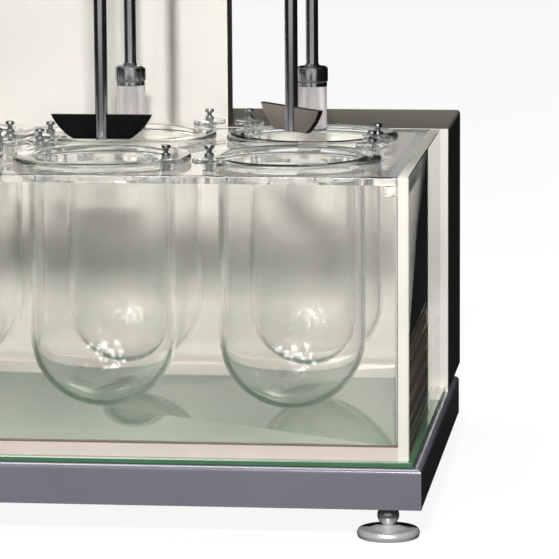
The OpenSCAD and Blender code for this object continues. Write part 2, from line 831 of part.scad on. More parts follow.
module head_cover() {
    cut_w = arm_w + 2 * free_gap;
    color(paint_grey) difference() {
        translate([0, head_front_y + head_d / 2, head_z]) pan(head_w, head_d, head_h, cover_edge_r, cover_sheet);
        for (side = [-1, 1])
            translate([side * arm_pitch / 2 - cut_w / 2, head_rear_y - 2 * cover_sheet, head_z - eps])
                cube([cut_w, 3 * cover_sheet, arm_z + arm_h + free_gap - head_z + eps]);
    }
}

function key_x(k) = key_row_x + (k - 1) * key_pitch;

module control_panel() {
    y = head_front_y - fascia_t;
    color(black) difference() {
        translate([0, head_front_y, fascia_z]) rotate([90, 0, 0])
            round_plate(fascia_w, fascia_h, fascia_t, fascia_corner_r);
        translate([display_x - display_w / 2, y - eps, fascia_z - display_h / 2])
            cube([display_w, display_t + eps, display_h]);
        for (k = [1 : 3])
            translate([key_x(k), y - eps, fascia_z]) along_y(fascia_t + 2 * eps, key_d + 2 * free_gap);
    }
}

module display_window() {
    color([0.25, 0.35, 0.3]) translate([display_x - display_w / 2, head_front_y - fascia_t, fascia_z - display_h / 2])
        cube([display_w, display_t, display_h]);
}

module key(k) {
    color(alloy) translate([key_x(k), head_front_y - fascia_t - key_rise, fascia_z]) along_y(key_l, key_d);
}

// Belt pulley with a rim above and below the belt
module pulley(d) {
    union() {
        cylinder(h = pulley_h, d = d);
        for (z = [0, pulley_h - rim_t])
            translate([0, 0, z]) cylinder(h = rim_t, d = d + 2 * pulley_rim);
    }
}

module drive_motor() {
    color(dark_steel) translate([motor_x, row_mid_y, 0]) difference() {
        union() {
            translate([0, 0, motor_z]) cylinder(h = motor_l, d = motor_d);
            for (turn = [45 : 90 : 315])
                rotate(turn) translate([post_r, 0, chassis_top_z])
                    cylinder(h = motor_z - chassis_top_z + eps, d = post_d);
        }
        translate([0, 0, motor_z - eps]) cylinder(h = motor_shaft_in + 2 * eps, d = motor_shaft_d + 2 * run_gap);
    }
}

module motor_pulley() {
    color(alloy) translate([motor_x, row_mid_y, pulley_z]) union() {
        pulley(motor_pulley_d);
        cylinder(h = motor_z + motor_shaft_in - pulley_z, d = motor_shaft_d);
    }
}

// One belt round the motor pulley and every spindle pulley
module drive_belt() {
    color(black) translate([0, 0, belt_z]) linear_extrude(belt_w) difference() {
        belt_loop(belt_gap + belt_t);
        belt_loop(belt_gap);
    }
}

module belt_loop(grow) {
    hull() {
        for (i = [1 : columns * rows])
            translate([place_x(i), place_y(i)]) circle(spindle_pulley_d / 2 + grow);
        translate([motor_x, row_mid_y]) circle(motor_pulley_d / 2 + grow);
    }
}

module spindle_bearings() {
    color(chrome) for (i = [1 : columns * rows])
        at_place(i) difference() {
            union() {
                translate([0, 0, head_z]) cylinder(h = chassis_t + bearing_rim_t, d = bearing_d - 2 * run_gap);
                translate([0, 0, chassis_top_z]) cylinder(h = bearing_rim_t, d = bearing_d + 2 * bearing_rim);
            }
            translate([0, 0, head_z - eps])
                cylinder(h = chassis_t + bearing_rim_t + 2 * eps, d = spindle_d + 2 * run_gap);
        }
}

// Hollow spindle with its pulley above the chassis and its chuck below
module spindle(i) {
    chuck_z = head_z - chuck_gap - chuck_l;
    nose_h = chuck_l / 3;
    color(alloy) at_place(i) difference() {
        union() {
            translate([0, 0, chuck_z]) cylinder(h = nose_h, d1 = chuck_d - 2 * chuck_taper, d2 = chuck_d);
            translate([0, 0, chuck_z + nose_h]) cylinder(h = chuck_l - nose_h - chuck_groove, d = chuck_d);
            translate([0, 0, chuck_z + nose_h]) cylinder(h = chuck_l - nose_h, d = chuck_d - 2 * chuck_groove);
            translate([0, 0, chuck_z]) cylinder(h = spindle_top_z - chuck_z, d = spindle_d);
            translate([0, 0, pulley_z]) pulley(spindle_pulley_d);
        }
        translate([0, 0, chuck_z - eps])
            cylinder(h = spindle_top_z - chuck_z + 2 * eps, d = shaft_d + 2 * run_gap);
    }
}

// Paddle: a flat blade between two chords of a circle, on the end of its shaft
module paddle(k) {
    z = top_z + paddle_rise + paddle_shift[k - 1];
    color(dark_steel) at_place(k) translate([0, 0, z]) union() {
        cylinder(h = shaft_top_z - top_z - paddle_rise, d = shaft_d);
        rotate([90, 0, paddle_turn[k - 1]]) linear_extrude(blade_t, center = true) intersection() {
            translate([0, blade_bottom_off]) circle(d = blade_circle_d);
            translate([-blade_circle_d / 2, 0]) square([blade_circle_d, blade_h]);
        }
    }
}

// Openings of a basket's screen, as bars that cross the whole basket
module screen_cuts() {
    row_h = (basket_h - 2 * basket_band) / screen_rows;
    cut_w = PI * basket_d / screen_columns - screen_bar;
    for (turn = [0 : screen_columns / 2 - 1])
        for (row = [0 : screen_rows - 1])
            rotate(turn * 360 / screen_columns)
                translate([-basket_d / 2 - eps, -cut_w / 2, basket_band + row * row_h + screen_bar / 2])
                    cube([basket_d + 2 * eps, cut_w, row_h - screen_bar]);
}

// Basket: a screened cup below its hub, which has a vent hole and three spring tongues
module basket(k) {
    z = top_z + basket_rise;
    hub_z = z + basket_h;
    tongue_w = 5;
    tongue_t = 0.8;
    tongue_drop = 4;
    vent_d = 2;
    vent_r = (hub_d / 2 + shaft_d / 2) / 2;
    color(stainless) at_place(columns + k) union() {
        difference() {
            translate([0, 0, hub_z]) cylinder(h = hub_h, d = hub_d);
            translate([vent_r, 0, hub_z - eps]) cylinder(h = hub_h + 2 * eps, d = vent_d);
        }
        translate([0, 0, hub_z]) cylinder(h = shaft_top_z - hub_z, d = shaft_d);
        for (turn = [30, 150, 270])
            rotate(turn) translate([basket_d / 2 - tongue_t / 2, -tongue_w / 2, hub_z - tongue_drop])
                cube([tongue_t, tongue_w, tongue_drop + hub_h / 3]);
    }
    color(stainless) at_place(columns + k) translate([0, 0, z]) difference() {
        cylinder(h = basket_h, d = basket_d);
        translate([0, 0, basket_wall]) cylinder(h = basket_h, d = basket_d - 2 * basket_wall);
        screen_cuts();
    }
}

base_tray();
base_glass();
foot(1);  // foot_1
foot(2);  // foot_2
foot(3);  // foot_3
foot(4);  // foot_4
tank_floor();
tank_front_wall();
tank_rear_wall();
tank_end_walls();
plate_ledges();
vessel_plate();
vessel(1);  // vessel_1
vessel(2);  // vessel_2
vessel(3);  // vessel_3
vessel(4);  // vessel_4
vessel(5);  // vessel_5
vessel(6);  // vessel_6
vessel(7);  // vessel_7
vessel(8);  // vessel_8
vessel_clips();
clip_screws();
housing_shell();
front_panel();
bath_pipes();
water_heater();
power_inlet();
power_switch();
column_shell();
guide_rods();
lift_actuator();
actuator_ram();
carriage();
head_chassis();
head_cover();
control_panel();
display_window();
key(1);  // key_1
key(2);  // key_2
key(3);  // key_3
drive_motor();
motor_pulley();
drive_belt();
spindle_bearings();
spindle(1);  // spindle_1
spindle(2);  // spindle_2
spindle(3);  // spindle_3
spindle(4);  // spindle_4
spindle(5);  // spindle_5
spindle(6);  // spindle_6
spindle(7);  // spindle_7
spindle(8);  // spindle_8
paddle(1);  // paddle_1
paddle(2);  // paddle_2
paddle(3);  // paddle_3
paddle(4);  // paddle_4
basket(1);  // basket_1
basket(2);  // basket_2
basket(3);  // basket_3
basket(4);  // basket_4
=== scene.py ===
"""Looks of a bench dissolution tester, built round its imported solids. Metres, +Z up, front towards -Y."""

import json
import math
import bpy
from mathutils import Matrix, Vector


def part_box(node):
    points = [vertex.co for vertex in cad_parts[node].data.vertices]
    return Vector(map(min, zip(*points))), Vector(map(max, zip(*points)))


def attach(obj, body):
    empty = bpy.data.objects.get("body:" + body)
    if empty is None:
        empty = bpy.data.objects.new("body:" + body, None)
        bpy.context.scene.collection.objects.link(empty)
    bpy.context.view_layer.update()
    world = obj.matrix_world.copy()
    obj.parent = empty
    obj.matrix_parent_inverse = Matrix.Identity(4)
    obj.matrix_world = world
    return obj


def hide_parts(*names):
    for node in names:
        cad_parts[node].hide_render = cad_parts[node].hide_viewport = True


bl_info = {
    "name": "Dissolution tester",
    "version": (1, 0, 0),
    "blender": (4, 5, 0),
    "location": "View3D > Sidebar > Tester",
    "description": "Builds the bath, the glassware, the stirrers and the casing of a dissolution tester",
    "category": "Object",
}

import bmesh
import bpy
import numpy as np
from mathutils import Matrix, Vector

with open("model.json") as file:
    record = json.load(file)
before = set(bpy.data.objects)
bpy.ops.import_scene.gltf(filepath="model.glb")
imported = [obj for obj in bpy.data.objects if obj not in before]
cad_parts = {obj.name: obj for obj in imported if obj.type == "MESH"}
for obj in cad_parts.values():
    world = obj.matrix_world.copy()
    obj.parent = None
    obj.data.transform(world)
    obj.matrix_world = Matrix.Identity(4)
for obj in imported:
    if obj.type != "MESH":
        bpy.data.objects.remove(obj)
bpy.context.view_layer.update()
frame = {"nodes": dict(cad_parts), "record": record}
NODES = frame["nodes"]
COLUMNS = 4
IN_ROW = range(1, COLUMNS + 1)
POSITIONS = range(1, 2 * COLUMNS + 1)
FEET = range(1, 5)
TURN = 2 * math.pi
# Points closer than this are one, shorter edges go, and the angle over which an edge stays sharp
WELD = 2e-6
SLIVER = 1e-7
CREASE = math.radians(35)
# Least radius of a corner
HAIR = 1e-5
# Heights between which the stainless sheet's colour is painted darker, as painted shade high up, and depths
# between which the plate's painted reflection of the lit panel starts
PAINTED_SHADE_HEIGHTS = (0.38, 0.52)
REFLECTION_DEPTHS = (0.025, 0.033)
# Collections of the pieces that a lamp of their own lights
LEFT_LIT = "lit from the left"
REAR_LIT = "lit from the rear"
GLINTING = "glinting"
# Strips that only cast shadows: name, depth, left, right, bottom and top
FLAGS = (
    ("wide_flag", -0.5, -0.2, 0.211, 0.427, 0.462),
    ("small_flag", -0.5, 0.225, 0.29, 0.427, 0.462),
    ("streak_flag", 0.012, 0.0962, 0.1028, 0.295, 0.435),
)
# Turn and rise, in degrees, of the lamps that glint in the vessels, and how far off and how wide they are
GLINT_WAYS = (
    (8, 27), (-19, 32), (-8, 40), (20, 36), (-30, 45), (3, 58), (32, 26), (-12, 22), (14, 45), (1, 34))
GLINT_FAR = 2
GLINT_WIDE = 0.03
# Angles over which the bright front of the room fades, and rises over which it turns to ceiling
FRONT_LEFT = (-0.75, -0.5)
FRONT_RIGHT = (0.5, 0.8)
OVERHEAD = (0.5, 0.95)
CEILING_LIGHT = 0.1
# Light of the room's sides through clear parts, against its front
SEEN_THROUGH = 1.4
# Half the floor's width, the distances over which its mirrored light grows, and that light near the tester
FLOOR_HALF = 6.0
FLOOR_FAR = (1.6, 2.4)
FLOOR_NEAR_LIGHT = 0.3
# The floor's own glow where it is seen direct, and how pale it is there and elsewhere
FLOOR_GLOW = 0.92
FLOOR_PALE = 0.075
FLOOR_DARK = 0.015
WARM = (1.0, 0.88, 0.76)


def node_box(name):
    """Lowest and highest corner of a solid, as arrays."""
    low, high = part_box(name)
    return np.array(low), np.array(high)


def node_middle(name):
    """Middle of a solid's box."""
    low, high = node_box(name)
    return (low + high) / 2


# Property groups


class TesterTank(bpy.types.PropertyGroup):
    """Sizes of the bonded bath and of the glass plate under it."""

    cove: bpy.props.FloatProperty(
        name="Cove", description="Radius between the bath's floor and walls", default=0.0025, unit="LENGTH")
    corner: bpy.props.FloatProperty(
        name="Inner corner", description="Radius in the bath's inner corners", default=0.003, unit="LENGTH")
    edge: bpy.props.FloatProperty(
        name="Polished edge", description="Chamfer on the sheets' edges", default=0.0005, unit="LENGTH")
    film: bpy.props.FloatProperty(
        name="Air film", description="Gap between clear parts that rest on each other", default=0.0001,
        unit="LENGTH")
    line: bpy.props.FloatProperty(
        name="Cement line", description="Width of the cement along the floor's front", default=0.0012,
        unit="LENGTH")
    ledge: bpy.props.FloatProperty(
        name="Ledge", description="Width of a ledge under the vessel plate", default=0.010, unit="LENGTH")
    plate_corner: bpy.props.FloatProperty(
        name="Plate corner", description="Radius at the green plate's corners", default=0.002,
        unit="LENGTH")
    plate_edge: bpy.props.FloatProperty(
        name="Plate edge", description="Chamfer on the green plate's edges", default=0.0006, unit="LENGTH")


class TesterVessel(bpy.types.PropertyGroup):
    """Sizes of a vessel's glass that its solid doesn't give."""

    tube: bpy.props.FloatProperty(
        name="Tube", description="Outside diameter of the tube", default=0.108, unit="LENGTH")
    wall: bpy.props.FloatProperty(
        name="Wall", description="Thickness of the glass", default=0.0035, unit="LENGTH")
    flange: bpy.props.FloatProperty(
        name="Flange", description="Thickness of the flange", default=0.006, unit="LENGTH")


class TesterClip(bpy.types.PropertyGroup):
    """Sizes of the clips and their screws."""

    length: bpy.props.FloatProperty(
        name="Length", description="Length of a clip", default=0.027, unit="LENGTH")
    width: bpy.props.FloatProperty(
        name="Width", description="Width of a clip", default=0.014, unit="LENGTH")
    reach: bpy.props.FloatProperty(
        name="Reach", description="Distance from the vessel's axis to the clip's screw", default=0.071,
        unit="LENGTH")
    angle: bpy.props.FloatProperty(
        name="Angle", description="Angle of the clips from the line of their row", default=math.radians(40),
        subtype="ANGLE")
    spacer: bpy.props.FloatProperty(
        name="Spacer", description="Diameter of the spacer under a clip", default=0.010, unit="LENGTH")
    shank: bpy.props.FloatProperty(
        name="Shank", description="Diameter of a screw", default=0.004, unit="LENGTH")
    cap: bpy.props.FloatProperty(
        name="Cap", description="Diameter of a screw's cap", default=0.007, unit="LENGTH")
    cap_height: bpy.props.FloatProperty(
        name="Cap height", description="Height of a screw's cap and of its nut", default=0.003,
        unit="LENGTH")
    thread: bpy.props.FloatProperty(
        name="Thread", description="Pitch of a screw's thread", default=0.001, unit="LENGTH")


class TesterFoot(bpy.types.PropertyGroup):
    """Sizes of a levelling foot that its solid doesn't give."""

    neck: bpy.props.FloatProperty(
        name="Neck", description="Diameter of the ball neck", default=0.016, unit="LENGTH")
    stem: bpy.props.FloatProperty(
        name="Stem", description="Diameter of the stem", default=0.010, unit="LENGTH")
    rim: bpy.props.FloatProperty(
        name="Rim", description="Height of the disc's rim", default=0.0062, unit="LENGTH")
    dome: bpy.props.FloatProperty(
        name="Dome", description="Height of the disc's dome", default=0.009, unit="LENGTH")
    thread: bpy.props.FloatProperty(
        name="Thread", description="Pitch of the thread", default=0.0015, unit="LENGTH")


class TesterStirrer(bpy.types.PropertyGroup):
    """Sizes of the paddles and baskets."""

    shaft: bpy.props.FloatProperty(
        name="Shaft", description="Diameter of the shafts", default=0.0095, unit="LENGTH")
    circle: bpy.props.FloatProperty(
        name="Blade circle", description="Diameter of the circle that rounds a blade's ends", default=0.083,
        unit="LENGTH")
    top: bpy.props.FloatProperty(
        name="Blade top", description="Length of a blade's upper edge", default=0.075, unit="LENGTH")
    bottom: bpy.props.FloatProperty(
        name="Blade bottom", description="Length of a blade's lower edge", default=0.042, unit="LENGTH")
    thick: bpy.props.FloatProperty(
        name="Blade thickness", description="Thickness of a blade", default=0.004, unit="LENGTH")
    turns: bpy.props.FloatVectorProperty(
        name="Blade turns", description="Turn of each blade at rest, left to right", size=4,
        subtype="EULER",
        default=(math.radians(30), math.radians(75), 0, math.radians(-49)))
    basket: bpy.props.FloatProperty(
        name="Basket", description="Diameter of a basket", default=0.0225, unit="LENGTH")
    basket_height: bpy.props.FloatProperty(
        name="Basket height", description="Height of a basket's mesh", default=0.037, unit="LENGTH")
    hub: bpy.props.FloatProperty(
        name="Hub", description="Diameter of a basket's hub", default=0.024, unit="LENGTH")
    hub_height: bpy.props.FloatProperty(
        name="Hub height", description="Height of that hub", default=0.012, unit="LENGTH")
    wire: bpy.props.FloatProperty(
        name="Wire", description="Half thickness of the mesh's wire", default=0.00019, unit="LENGTH")


def colour(name, text, value):
    """A colour property."""
    return bpy.props.FloatVectorProperty(
        name=name, description=text, size=3, subtype="COLOR", default=value, min=0, max=1)


class TesterFinish(bpy.types.PropertyGroup):
    """Colours of the finishes."""

    grey_paint: colour("Grey paint", "Paint of the base and the head", (0.132, 0.132, 0.158))
    dark_paint: colour("Dark paint", "Paint of the housing and the column", (0.115, 0.110, 0.088))
    stainless: colour("Stainless", "Sheet of the front panel", (0.86, 0.84, 0.755))
    steel: colour("Steel", "Polished shafts and spindles", (0.52, 0.52, 0.54))
    blade: colour("Blade", "Black coat of the paddle blades", (0.004, 0.004, 0.004))
    mesh: colour("Mesh", "Woven wire of the baskets", (0.80, 0.75, 0.74))
    chrome: colour("Chrome", "Feet, screws and rods", (0.84, 0.84, 0.85))
    acrylic: colour("Acrylic", "Clear sheets of the bath", (0.995, 0.992, 0.978))
    sawn: colour("Sawn edges", "Frosted edges of the bath's floor", (0.56, 0.485, 0.43))
    cut: colour("Cut edges", "Paler edges of the end walls", (0.66, 0.645, 0.56))
    bond: colour("Bond", "Line of cement along the bath's floor", (0.11, 0.075, 0.045))
    glass: colour("Glass", "Vessels", (0.996, 0.995, 0.986))
    plate: colour("Plate glass", "Green glass under the bath", (0.050, 0.125, 0.068))
    # Pale tone painted on the plate's rear part: a painted reflection of the lit panel seen through the
    # bath's rear cove
    painted_reflection: colour("Bed", "Cement under the rear of the green glass", (0.66, 0.65, 0.56))
    alloy: colour("Alloy", "Bare machined alloy", (0.66, 0.66, 0.67))
    black: colour("Black plastic", "Control panel and inlet", (0.020, 0.020, 0.022))
    key: colour("Keys", "Keys of the control panel", (0.40, 0.41, 0.43))
    display: colour("Display", "Display window", (0.020, 0.035, 0.028))
    belt: colour("Belt", "Rubber of the drive belt", (0.030, 0.030, 0.030))


class TesterStage(bpy.types.PropertyGroup):
    """Camera and light."""

    eye: bpy.props.FloatVectorProperty(
        name="Eye", description="Place of the camera", size=3, subtype="TRANSLATION",
        default=(0.5316, -2.8614, 0.6198))
    yaw: bpy.props.FloatProperty(
        name="Yaw", description="Turn to the left", default=0.1209, subtype="ANGLE")
    pitch: bpy.props.FloatProperty(
        name="Pitch", description="Tilt upwards", default=-0.1594, subtype="ANGLE")
    roll: bpy.props.FloatProperty(
        name="Roll", description="Roll of the picture", default=-0.0067, subtype="ANGLE")
    lens: bpy.props.FloatProperty(
        name="Lens", description="Focal length in millimetres", default=244.6)
    room: bpy.props.FloatProperty(
        name="Room", description="Brightness of the room in front", default=0.5)
    mirrored: bpy.props.FloatProperty(
        name="Mirrored floor", description="Brightness of the floor in front, in metal and glass",
        default=0.65)
    dim: bpy.props.FloatProperty(
        name="Dim sides", description="Brightness of the room's sides against its front", default=0.02)
    key_power: bpy.props.FloatProperty(
        name="Key", description="Power of the lamp in front", default=47.5)
    top_power: bpy.props.FloatProperty(
        name="Ceiling", description="Power of the soft lamp above", default=75.0)
    glint_power: bpy.props.FloatProperty(
        name="Glints", description="Power of each lamp that glints in the vessels", default=36.0)
    left_power: bpy.props.FloatProperty(
        name="Left card", description="Power of the low lamp at the left", default=120.0)
    rear_power: bpy.props.FloatProperty(
        name="Rear", description="Power of the lamp behind the casing", default=60.0)


GROUPS = {
    "tester_tank": TesterTank,
    "tester_vessel": TesterVessel,
    "tester_clip": TesterClip,
    "tester_foot": TesterFoot,
    "tester_stirrer": TesterStirrer,
    "tester_finish": TesterFinish,
    "tester_stage": TesterStage,
}

# Shader maths


class Wire:
    """A shader socket on which arithmetic adds Math nodes."""

    def __init__(self, book, socket):
        self.book = book
        self.socket = socket

    def math(self, operation, *values):
        """Result of a Math node."""
        return self.book.node("Math", {"operation": operation}, dict(enumerate(values)))

    def __add__(self, other):
        return self.math("ADD", self, other)

    def __sub__(self, other):
        return self.math("SUBTRACT", self, other)

    def __rsub__(self, other):
        return self.math("SUBTRACT", other, self)

    def __mul__(self, other):
        return self.math("MULTIPLY", self, other)

    def above(self, low, high):
        """0 below low, 1 above high, smooth between."""
        ends = {"Value": self, "From Min": low, "From Max": high}
        return self.book.node("MapRange", {"interpolation_type": "SMOOTHSTEP"}, ends)


class Book:
    """A material's or the world's node tree."""

    def __init__(self, owner):
        owner.use_nodes = True
        self.tree = owner.node_tree
        self.tree.nodes.clear()

    def node(self, kind, settings=None, sockets=None, out=0):
        """Adds a node, sets its settings and sockets and returns one of its outputs."""
        made = self.tree.nodes.new("ShaderNode" + kind)
        for name, value in (settings or {}).items():
            setattr(made, name, value)
        for name, value in (sockets or {}).items():
            if isinstance(value, Wire):
                self.tree.links.new(value.socket, made.inputs[name])
            else:
                made.inputs[name].default_value = value
        return Wire(self, made.outputs[out]) if len(made.outputs) else made

    def split(self, kind, sockets, *outs):
        """Adds a node and returns several of its outputs."""
        made = self.node(kind, {}, sockets).socket.node
        return [Wire(self, made.outputs[out]) for out in outs]

    def place(self, stretch=(1, 1, 1)):
        """Object coordinates, stretched along the axes."""
        spot = self.node("TexCoord", out="Object")
        return self.node("Mapping", {}, {"Vector": spot, "Scale": stretch})

    def noise(self, scale, stretch=(1, 1, 1), detail=3.0):
        """Even noise from 0 to 1, with scale counts to the metre."""
        return self.node("TexNoise", {}, {"Vector": self.place(stretch), "Scale": scale, "Detail": detail})

    def blend(self, amount, first, second):
        """Mix of two colours."""
        return self.node(
            "Mix", {"data_type": "RGBA"}, {"Factor": amount, 6: first, 7: second}, out=2)

    def bump(self, height, strength, distance):
        """Normal of a surface with this height."""
        return self.node("Bump", {}, {"Height": height, "Strength": strength, "Distance": distance})

    def surface(self, **sockets):
        """The Principled shader and the output."""
        names = {key.replace("_", " "): value for key, value in sockets.items()}
        shader = self.node("BsdfPrincipled", {}, names)
        self.node("OutputMaterial", {}, {"Surface": shader})


def rgba(value, factor=1.0):
    """A colour with its alpha, made lighter or darker."""
    return tuple(min(1.0, channel * factor) for channel in value) + (1.0,)


def new_book(name):
    """A new material and its node tree."""
    made = bpy.data.materials.new(name)
    return made, Book(made)


def paint(name, value, rough, shine=0.5):
    """Baked paint with orange peel and faint clouding."""
    made, book = new_book(name)
    cloud = book.noise(22.0)
    speck = book.noise(900.0, detail=1.0)
    peel = book.noise(420.0, detail=2.0)
    tone = cloud * 0.6 + speck * 0.4
    book.surface(
        Base_Color=book.blend(tone, rgba(value, 0.88), rgba(value, 1.12)),
        Specular_IOR_Level=shine,
        Roughness=cloud * 0.14 + (rough - 0.07),
        Normal=book.bump(peel, 0.25, 0.0004))
    return made


def brushed(name, value, rough, stretch=(1, 1, 0.02), metal=1.0, depth=0.55, upper=None):
    """Sheet metal with a fine grain along one axis; where asked, its colour is painted darker high up as
    painted shade.
    """
    made, book = new_book(name)
    grain = book.noise(700.0, stretch, 2.0)
    cloud = book.noise(9.0, detail=2.0)
    tone = book.blend(grain * depth + cloud * (1 - depth), rgba(value, 0.93), rgba(value, 1.06))
    # Painted shade: above these heights the colour darkens to the given fraction
    if upper:
        height = book.node("SeparateXYZ", {}, {0: book.place()}, out="Z")
        tone = book.blend(height.above(*PAINTED_SHADE_HEIGHTS), tone, rgba(value, upper))
    book.surface(
        Base_Color=tone,
        Metallic=metal,
        Roughness=(grain * depth + cloud * 0.4 + (0.8 - depth / 2)) * rough,
        Normal=book.bump(grain, depth * 0.15, 0.0003))
    return made


def polished(name, value, rough, metal=1.0):
    """Polished metal with faint handling marks."""
    made, book = new_book(name)
    smear = book.noise(60.0, (1, 1, 0.3), 4.0)
    book.surface(
        Base_Color=book.blend(smear, rgba(value, 0.92), rgba(value, 1.04)),
        Metallic=metal,
        Roughness=smear * 0.10 + (rough - 0.05))
    return made


def satin(name, value, rough, shine=0.5):
    """Matt or satin solid finish with a fine texture."""
    made, book = new_book(name)
    speck = book.noise(1500.0, detail=2.0)
    cloud = book.noise(35.0)
    book.surface(
        Base_Color=book.blend(speck * 0.5 + cloud * 0.5, rgba(value, 0.8), rgba(value, 1.2)),
        Specular_IOR_Level=shine,
        Roughness=cloud * 0.16 + (rough - 0.08),
        Normal=book.bump(speck, 0.15, 0.0002))
    return made


def clear(name, value, index, coat=0.0):
    """Clear glass or acrylic with faint smears."""
    made, book = new_book(name)
    smear = book.noise(30.0, detail=4.0)
    book.surface(
        Base_Color=rgba(value),
        Roughness=smear.above(0.45, 0.8) * 0.025,
        Coat_Weight=coat,
        Coat_Roughness=0.07,
        Transmission_Weight=1.0,
        IOR=index)
    return made


def plate_with_painted_reflection(name, value, painted_reflection):
    """Glass plate over a coat, its rear part painted pale as a painted reflection of the lit panel."""
    made, book = new_book(name)
    cloud = book.noise(35.0)
    depth = book.node("SeparateXYZ", {}, {0: book.place()}, out="Y")
    # Painted reflection: past these depths the colour turns to the pale tone of the lit panel
    edge = (depth + cloud * 0.004).above(*REFLECTION_DEPTHS)
    tone = book.blend(cloud, rgba(value, 0.85), rgba(value, 1.15))
    book.surface(
        Base_Color=book.blend(edge, tone, rgba(painted_reflection)),
        Specular_IOR_Level=0.5,
        Roughness=cloud * 0.16 + 0.08)
    return made


FINISHES = {}


def make_finishes(look):
    """All finishes by the name of their slot."""
    FINISHES.update(
        grey_paint=paint("grey_paint", look.grey_paint, 0.20),
        dark_paint=paint("dark_paint", look.dark_paint, 0.40, 0.2),
        # The stainless colour is painted darker high up: painted shade on the upper column
        stainless=brushed("stainless", look.stainless, 0.22, metal=0.3, depth=0.0, upper=0.62),
        polished_steel=polished("polished_steel", look.steel, 0.16),
        paddle_steel=satin("paddle_blade", look.blade, 0.34, 0.04),
        basket_steel=brushed("basket_wire", look.mesh, 0.35, metal=0.65),
        chrome=polished("chrome", look.chrome, 0.12, 0.9),
        foot_metal=polished("foot_metal", look.chrome, 0.2, 0.55),
        clear_acrylic=clear("clear_acrylic", look.acrylic, 1.49),
        vessel_glass=clear("vessel_glass", look.glass, 1.47, 0.4),
        # The plate's rear part carries a painted reflection of the lit panel
        plate_glass=plate_with_painted_reflection("plate_glass", look.plate, look.painted_reflection),
        sawn_edge=satin("sawn_edge", look.sawn, 0.5),
        cut_edge=satin("cut_edge", look.cut, 0.5),
        bond=satin("bond", look.bond, 0.5),
        bare_alloy=brushed("bare_alloy", look.alloy, 0.34, (0.05, 1, 1)),
        black_plastic=satin("black_plastic", look.black, 0.5),
        key_plastic=satin("key_plastic", look.key, 0.45),
        display=satin("display", look.display, 0.14),
        belt_rubber=satin("belt_rubber", look.belt, 0.6))


# Surfaces


def quads(across, along, wrap_across=False, wrap_along=False):
    """Corner numbers of a grid's quads, closed round either way where asked."""
    first = np.arange(across if wrap_across else across - 1)
    second = np.arange(along if wrap_along else along - 1)
    a, b = np.meshgrid(first, second, indexing="ij")
    c, d = (a + 1) % across, (b + 1) % along
    return np.stack([a * along + b, c * along + b, c * along + d, a * along + d], -1).reshape(-1, 4)


def grid(points, wrap_across=False, wrap_along=False):
    """A surface, as (points, quads), from an array of points over two parameters."""
    across, along = points.shape[:2]
    return points.reshape(-1, 3), quads(across, along, wrap_across, wrap_along)


def join(*surfaces):
    """Several surfaces as one."""
    counts = np.cumsum([0] + [len(points) for points, _ in surfaces[:-1]])
    return (
        np.concatenate([points for points, _ in surfaces]),
        np.concatenate([faces + start for (_, faces), start in zip(surfaces, counts)]))


def placed(surface, offset, turn=0.0):
    """The surface turned about +Z and then moved."""
    points, faces = surface
    c, s = math.cos(turn), math.sin(turn)
    return points @ np.array([[c, s, 0], [-s, c, 0], [0, 0, 1]]) + np.asarray(offset), faces


def fillet(corners, steps=6):
    """A profile through corners (r, z, radius), each corner rounded by an arc of its radius."""
    spots = np.array([corner[:2] for corner in corners], float)
    out = [spots[:1]]
    for k in range(1, len(corners) - 1):
        radius = corners[k][2]
        if not radius:
            out.append(spots[k:k + 1])
            continue
        back, ahead = spots[k - 1] - spots[k], spots[k + 1] - spots[k]
        back, ahead = back / np.linalg.norm(back), ahead / np.linalg.norm(ahead)
        half = math.acos(np.clip(back @ ahead, -1, 1)) / 2
        middle = spots[k] + (back + ahead) / np.linalg.norm(back + ahead) * radius / math.sin(half)
        start = spots[k] + back * radius / math.tan(half) - middle
        sweep = math.pi - 2 * half
        sign = math.copysign(1, back[1] * ahead[0] - back[0] * ahead[1])
        angle = np.linspace(0, sweep * sign, steps)
        c, s = np.cos(angle), np.sin(angle)
        out.append(middle + np.stack([c * start[0] - s * start[1], s * start[0] + c * start[1]], -1))
    out.append(spots[-1:])
    return np.concatenate(out)


def arc(middle, radius, start, end, steps):
    """Points (r, z) of an arc about a point, angles from the +r axis."""
    angle = np.linspace(start, end, steps)
    return np.stack([middle[0] + radius * np.cos(angle), middle[1] + radius * np.sin(angle)], -1)


def revolve(profile, segments):
    """The profile (r, z) carried round +Z."""
    angle = np.linspace(0, TURN, segments, endpoint=False)[:, None]
    r, z = profile[None, :, 0], profile[None, :, 1]
    points = np.stack([r * np.cos(angle), r * np.sin(angle), z + 0 * angle], -1)
    return grid(points, wrap_across=True)


def rounded_ring(half_x, half_y, radius, steps=6):
    """Closed ring of points round a rectangle with round corners."""
    angle = np.linspace(0, math.pi / 2, steps)
    turn = np.repeat(np.arange(4) * math.pi / 2, steps)
    angle = np.tile(angle, 4) + turn
    side = np.array([[1, 1], [-1, 1], [-1, -1], [1, -1]]).repeat(steps, 0)
    middle = side * np.array([half_x - radius, half_y - radius])
    return middle + radius * np.stack([np.cos(angle), np.sin(angle)], -1)


def loft(rings, heights):
    """Skin over rings of points at their heights, closed at both ends in the rings' middles."""
    rings = [rings[0] * 0 + rings[0].mean(0)] + list(rings) + [rings[-1] * 0 + rings[-1].mean(0)]
    heights = [heights[0]] + list(heights) + [heights[-1]]
    points = np.stack([np.column_stack([ring, np.full(len(ring), z)]) for ring, z in zip(rings, heights)])
    return grid(points, wrap_along=True)


def block(low, high):
    """Box between two corners."""
    ring = np.array([(low[0], low[1]), (high[0], low[1]), (high[0], high[1]), (low[0], high[1])])
    return loft([ring, ring], [low[2], high[2]])


